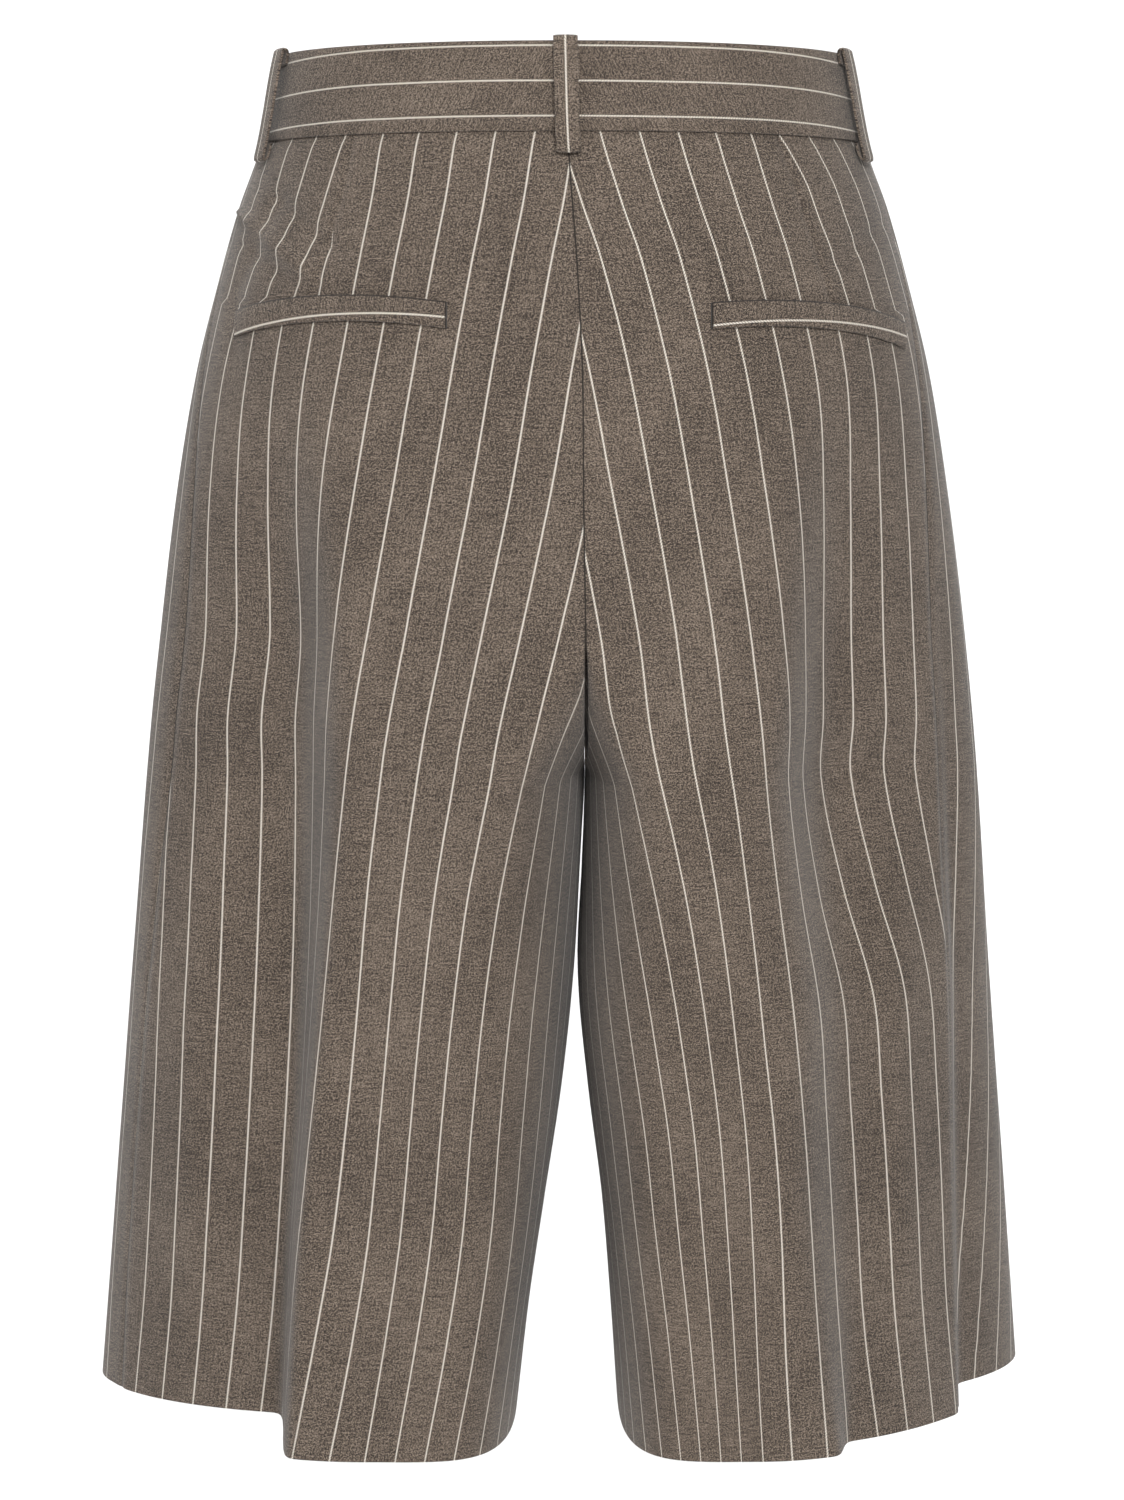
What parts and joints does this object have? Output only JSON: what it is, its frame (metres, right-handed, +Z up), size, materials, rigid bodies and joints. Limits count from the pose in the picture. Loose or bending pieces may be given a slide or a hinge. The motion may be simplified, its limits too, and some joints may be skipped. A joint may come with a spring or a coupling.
{
  "type": "bermuda shorts",
  "caption": "Wide-legged knee-length bermuda shorts in pinstriped wool twill, with a waistband, dropped belt loops, welt back pockets and open hems, filled out to their worn form.",
  "frame": {"origin": "middle of the waist opening, level with the waistband's top edge", "axes": "+Z up, the garment's front faces -Y, +X towards the wearer's left"},
  "size_m": [0.4486, 0.2802, 0.6302],
  "materials": {
    "pinstripe_twill": "brushed wool twill, taupe melange with ivory pinstripes",
    "zip_tape": "woven tape",
    "horn_button": "satin mottled horn"
  },
  "bodies": {
    "root": {"back_left": "pinstripe_twill", "back_right": "pinstripe_twill", "front_left": "pinstripe_twill", "front_right": "pinstripe_twill", "waistband": "pinstripe_twill", "loop_back": "pinstripe_twill", "loop_side_left": "pinstripe_twill", "loop_side_right": "pinstripe_twill", "loop_front_left": "pinstripe_twill", "loop_front_right": "pinstripe_twill", "welt_left": "pinstripe_twill", "welt_right": "pinstripe_twill", "zip": "zip_tape", "fly_shield": "pinstripe_twill", "button": "horn_button"}
  },
  "joints": []
}
